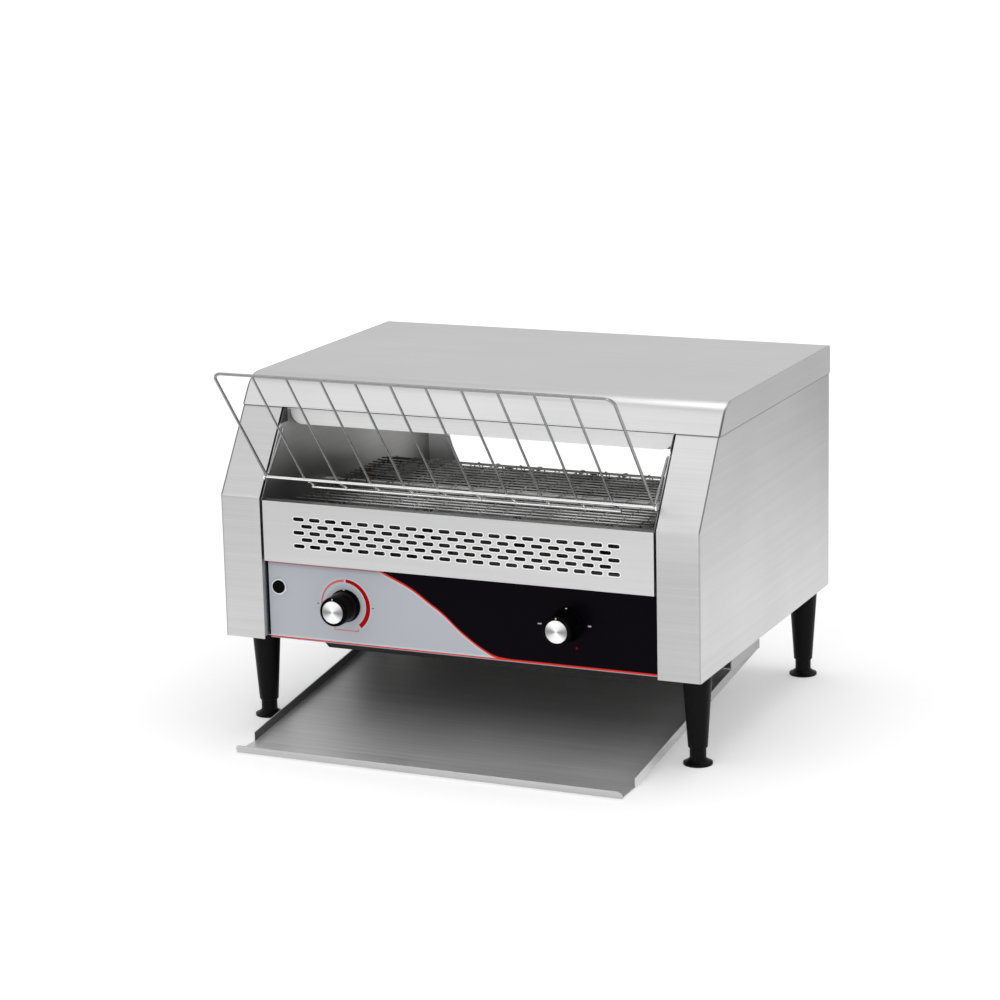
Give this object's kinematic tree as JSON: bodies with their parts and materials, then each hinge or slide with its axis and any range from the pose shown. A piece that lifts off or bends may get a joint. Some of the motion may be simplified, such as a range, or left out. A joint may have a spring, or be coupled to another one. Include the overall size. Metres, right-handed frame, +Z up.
{
  "type": "conveyor toaster",
  "caption": "Countertop conveyor toaster: sheet-metal case on tapered legs, wire loading rack, mesh belt under quartz heaters, control knobs and a sloping toast slide.",
  "frame": {"origin": "on the worktop, under the middle of the whole machine's footprint", "axes": "+X to the right seen from the front, +Y to the back, +Z up; the front faces -Y"},
  "size_m": [0.5524, 0.531, 0.4152],
  "materials": {
    "stainless": "brushed stainless sheet",
    "tunnel_steel": "dull stainless sheet, heat tinted",
    "galvanised": "dull zinc coated sheet",
    "slide_steel": "brushed stainless sheet",
    "tray_steel": "dull stainless sheet",
    "panel_paint": "satin blue-grey paint",
    "panel_film": "printed film, blue-grey and near-black",
    "belt_wire": "oxidised stainless wire",
    "rack_wire": "bright wire",
    "bright_steel": "turned steel",
    "sprocket_steel": "plain steel",
    "bush_bronze": "sintered bronze",
    "quartz": "clear quartz",
    "coil_wire": "oxidised resistance wire",
    "ceramic": "glazed ceramic",
    "motor_black": "satin black",
    "gearbox_zinc": "die casting",
    "black_plastic": "satin black",
    "control_board": "circuit board",
    "terminal_plastic": "ivory plastic",
    "disc_aluminium": "spun finish",
    "nut_steel": "nickel plate"
  },
  "bodies": {
    "case": {"side_panel_left": "stainless", "side_panel_right": "stainless", "top_cover": "stainless", "vent_panel": "stainless", "hood_reflector": "stainless", "inner_wall_left": "tunnel_steel", "inner_wall_right": "tunnel_steel", "lower_reflector": "tunnel_steel", "drop_deflector": "tunnel_steel", "rear_panel": "tunnel_steel", "base_pan": "galvanised", "compartment_divider": "galvanised", "crumb_tray_runners": "galvanised", "motor_bracket": "galvanised", "slide_hangers": "slide_steel", "control_panel": "panel_paint", "control_overlay": "panel_film", "conveyor_belt": "belt_wire", "belt_support_rod": "bright_steel", "case_screws": "bright_steel", "leg_bolts": "bright_steel", "drive_chain": "sprocket_steel", "shaft_bushes": "bush_bronze", "upper_heater_tubes": "quartz", "lower_heater_tubes": "quartz", "heater_coils": "coil_wire", "heater_end_caps": "ceramic", "drive_motor": "motor_black", "drive_gearbox": "gearbox_zinc", "leg_front_left": "black_plastic", "leg_front_right": "black_plastic", "leg_rear_left": "black_plastic", "leg_rear_right": "black_plastic", "reset_breaker": "black_plastic", "selector_switch": "black_plastic", "cable_gland": "black_plastic", "speed_controller": "control_board", "terminal_block": "terminal_plastic", "panel_nuts": "nut_steel"},
    "loading_rack": {"loading_rack": "rack_wire"},
    "toast_slide": {"toast_slide": "slide_steel"},
    "crumb_tray": {"crumb_tray": "tray_steel"},
    "drive_shaft": {"drive_shaft": "bright_steel", "drive_belt_sprockets": "sprocket_steel", "chain_sprocket": "sprocket_steel"},
    "idler_shaft": {"idler_shaft": "bright_steel", "idler_belt_sprockets": "sprocket_steel"},
    "motor_shaft": {"motor_shaft": "bright_steel", "motor_sprocket": "sprocket_steel"},
    "speed_knob": {"speed_knob": "black_plastic", "speed_knob_disc": "disc_aluminium", "speed_spindle": "bright_steel"},
    "selector_knob": {"selector_knob": "black_plastic", "selector_knob_disc": "disc_aluminium", "selector_spindle": "bright_steel"},
    "reset_button": {"reset_button": "black_plastic"},
    "foot_front_left": {"foot_front_left": "black_plastic"},
    "foot_front_right": {"foot_front_right": "black_plastic"},
    "foot_rear_left": {"foot_rear_left": "black_plastic"},
    "foot_rear_right": {"foot_rear_right": "black_plastic"}
  },
  "joints": [
    {"name": "rack_hinge", "type": "hinge", "parent": "case", "child": "loading_rack", "pos_m": [0, -0.11645, 0.325], "axis": [-1, 0, 0], "range_deg": [0, 110]},
    {"name": "slide_pull", "type": "slide", "parent": "case", "child": "toast_slide", "axis": [0, -1, 0], "range_m": [0, 0.078]},
    {"name": "crumb_tray_pull", "type": "slide", "parent": "case", "child": "crumb_tray", "axis": [0, -1, 0], "range_m": [0, 0.22]},
    {"name": "drive_shaft_spin", "type": "hinge", "parent": "case", "child": "drive_shaft", "pos_m": [0, 0.09155, 0.226], "axis": [-1, 0, 0], "continuous": true},
    {"name": "idler_shaft_spin", "type": "hinge", "parent": "case", "child": "idler_shaft", "pos_m": [0, -0.12145, 0.226], "axis": [-1, 0, 0], "continuous": true},
    {"name": "motor_shaft_spin", "type": "hinge", "parent": "case", "child": "motor_shaft", "pos_m": [0.238, 0.09155, 0.15], "axis": [-1, 0, 0], "continuous": true},
    {"name": "speed_knob_turn", "type": "hinge", "parent": "case", "child": "speed_knob", "pos_m": [-0.133, -0.16645, 0.146], "axis": [0, 1, 0], "range_deg": [0, 270]},
    {"name": "selector_knob_turn", "type": "hinge", "parent": "case", "child": "selector_knob", "pos_m": [0.125, -0.16645, 0.149], "axis": [0, 1, 0], "range_deg": [0, 270]},
    {"name": "reset_button_press", "type": "slide", "parent": "case", "child": "reset_button", "axis": [0, 1, 0], "range_m": [0, 0.003], "stiffness_N_per_m": 250, "springref_m": -0.001},
    {"name": "foot_front_left_height", "type": "slide", "parent": "case", "child": "foot_front_left", "axis": [0, 0, -1], "range_m": [0, 0.02]},
    {"name": "foot_front_right_height", "type": "slide", "parent": "case", "child": "foot_front_right", "axis": [0, 0, -1], "range_m": [0, 0.02]},
    {"name": "foot_rear_left_height", "type": "slide", "parent": "case", "child": "foot_rear_left", "axis": [0, 0, -1], "range_m": [0, 0.02]},
    {"name": "foot_rear_right_height", "type": "slide", "parent": "case", "child": "foot_rear_right", "axis": [0, 0, -1], "range_m": [0, 0.02]}
  ],
  "couplings": [
    {"joint": "idler_shaft_spin", "follows": "drive_shaft_spin", "ratio": 1},
    {"joint": "motor_shaft_spin", "follows": "drive_shaft_spin", "ratio": 2}
  ]
}
